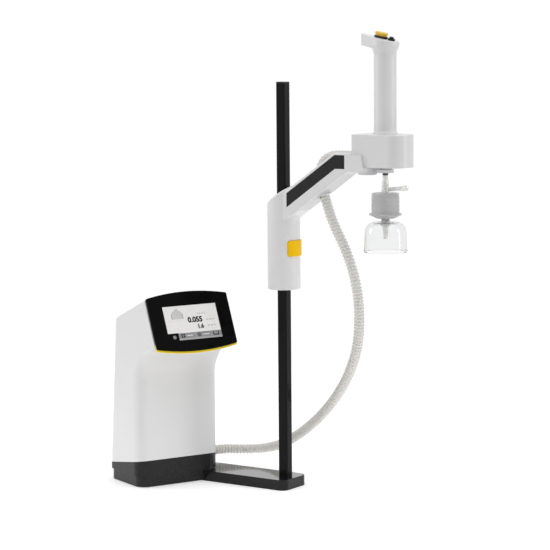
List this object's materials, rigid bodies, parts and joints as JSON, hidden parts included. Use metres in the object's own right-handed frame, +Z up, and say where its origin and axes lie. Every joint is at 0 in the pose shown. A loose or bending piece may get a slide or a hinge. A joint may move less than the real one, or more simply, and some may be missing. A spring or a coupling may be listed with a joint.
{
  "type": "laboratory water dispensing station",
  "caption": "Bench station with a tilted display unit, foot bar, mast, sliding arm and a lift-out hand dispenser with capsule filter, filling bell and corrugated hose.",
  "frame": {"origin": "on the bench, under the centre line of the mast, on the underside of the foot bar", "axes": "+Z up along the mast; +X along the foot bar, from the display unit towards the dispenser; the display faces -X and -Y"},
  "size_m": [0.5443, 0.3052, 0.7802],
  "materials": {
    "white_casing": "semi-gloss moulded shell with a very fine texture",
    "white_inner": "matt moulded plastic",
    "black_casing": "satin black moulded plastic",
    "black_metal": "satin black powder coat on steel",
    "gloss_black": "polished black",
    "accent_yellow": "warm yellow, semi-gloss",
    "button_yellow": "pale yellow, semi-gloss",
    "screen": "lit liquid-crystal panel under a clear sheet",
    "key_grey": "grey touch dot",
    "rubber_black": "matt rubber",
    "screw_steel": "plain steel",
    "board_green": "circuit board",
    "manifold_grey": "grey engineering plastic",
    "valve_brass": "machined brass",
    "hose_white": "off-white flexible corrugated hose",
    "filter_frosted": "frosted translucent plastic",
    "filter_media": "pleated filter medium",
    "vent_pale": "pale translucent plastic",
    "clear_plastic": "clear polished plastic",
    "seal_grey": "seal ring"
  },
  "bodies": {
    "stand": {"foot_bar": "black_metal", "foot_pads": "rubber_black", "bar_screws": "screw_steel", "mast": "black_metal", "mast_cap": "black_casing", "mast_grub_screw": "screw_steel", "unit_shell": "white_casing", "unit_base": "black_casing", "base_feet": "rubber_black", "shell_screws": "screw_steel", "display_trim": "accent_yellow", "display_bezel": "gloss_black", "display_screen": "screen", "home_key": "key_grey", "control_board": "board_green", "water_manifold": "manifold_grey", "inlet_valve": "valve_brass", "rear_panel": "black_casing", "water_inlet": "manifold_grey", "drain_outlet": "manifold_grey", "power_socket": "rubber_black", "data_socket": "rubber_black", "hose_gland": "hose_white", "hose_lower": "hose_white"},
    "carriage": {"arm_housing": "white_casing", "arm_panel_near": "black_casing", "arm_panel_far": "black_casing", "arm_cover": "white_inner", "hose_guide": "white_inner", "bush_lower": "manifold_grey", "bush_upper": "manifold_grey", "cradle": "white_casing", "cradle_screws": "screw_steel", "cradle_disc": "white_inner", "release_spring": "screw_steel", "hose_upper": "hose_white"},
    "release": {"release_button": "accent_yellow"},
    "brake": {"brake_shoe": "rubber_black"},
    "dispenser": {"dispenser_block": "white_casing", "block_floor": "white_inner", "floor_screws": "screw_steel", "hose_cuff": "hose_white", "hand_grip": "white_casing", "grip_head": "white_casing", "button_seat": "black_casing", "mode_collar": "black_casing", "dispense_valve": "valve_brass", "inner_tube": "hose_white", "outlet_collar": "white_inner", "outlet_seal": "seal_grey", "filter_stem": "filter_frosted", "filter_cap": "filter_frosted", "filter_body": "filter_frosted", "filter_core": "filter_media", "filter_vent": "vent_pale", "filling_bell": "clear_plastic", "outlet_tube": "clear_plastic"},
    "dispense_key": {"dispense_button": "button_yellow"},
    "mode_key": {"mode_button": "black_casing"},
    "vent": {"vent_cap": "vent_pale"}
  },
  "joints": [
    {"name": "arm_height", "type": "slide", "parent": "stand", "child": "carriage", "axis": [0, 0, 1], "range_m": [-0.2, 0.15], "deforming": ["hose_lower"]},
    {"name": "release_press", "type": "slide", "parent": "carriage", "child": "release", "axis": [-1, 0, 0], "range_m": [0, 0.003], "stiffness_N_per_m": 900, "springref_m": -0.002, "deforming": ["release_spring"]},
    {"name": "brake_release", "type": "slide", "parent": "carriage", "child": "brake", "axis": [1, 0, 0], "range_m": [0, 0.001]},
    {"name": "dispenser_lift", "type": "slide", "parent": "carriage", "child": "dispenser", "axis": [0.6, 0, 0.8], "range_m": [0, 0.06], "deforming": ["hose_upper"]},
    {"name": "dispense_press", "type": "slide", "parent": "dispenser", "child": "dispense_key", "axis": [-0.2055, 0, -0.9787], "range_m": [0, 0.0018], "stiffness_N_per_m": 800, "springref_m": -0.001},
    {"name": "mode_press", "type": "slide", "parent": "dispenser", "child": "mode_key", "axis": [-0.2055, 0, -0.9787], "range_m": [0, 0.0015], "stiffness_N_per_m": 800, "springref_m": -0.001},
    {"name": "vent_turn", "type": "hinge", "parent": "dispenser", "child": "vent", "pos_m": [0.21, 0, 0.52], "axis": [0.9954, 0, 0.0958], "range_deg": [0, 90]}
  ],
  "couplings": [
    {"joint": "brake_release", "follows": "release_press", "ratio": 0.3}
  ]
}
